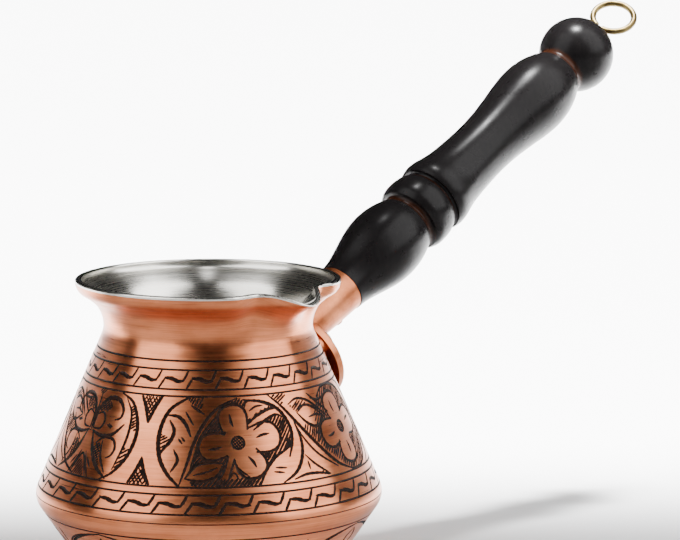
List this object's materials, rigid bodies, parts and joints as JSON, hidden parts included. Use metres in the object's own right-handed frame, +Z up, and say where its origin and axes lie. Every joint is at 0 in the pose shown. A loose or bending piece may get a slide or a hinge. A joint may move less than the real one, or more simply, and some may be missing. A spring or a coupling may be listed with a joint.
{
  "type": "turkish coffee pot",
  "caption": "Tinned copper coffee pot with a waisted neck and side pouring lip, and a rising turned wooden handle in a riveted socket with a hanging eye.",
  "frame": {"origin": "centre of the flat base, on the surface the pot stands on", "axes": "+Z up along the pot's axis, +X the way the handle leaves (it also rises), -Y the way the pouring lip points"},
  "size_m": [0.2372, 0.1006, 0.1572],
  "materials": {
    "copper": "brushed copper with darkened engraved lines",
    "tin": "wiped tin, fine turning lines",
    "copper_casting": "satin copper",
    "rivet": "satin copper",
    "handle_wood": "black lacquer, worn brown in the grooves",
    "eye_brass": "drawn wire, slightly dulled"
  },
  "bodies": {
    "root": {"pot_body": "copper", "tin_lining": "tin", "handle_socket": "copper_casting", "rivet_front": "rivet", "rivet_rear": "rivet", "rivet_bottom": "rivet", "wooden_handle": "handle_wood", "handle_pin": "rivet", "screw_eye": "eye_brass"}
  },
  "joints": []
}
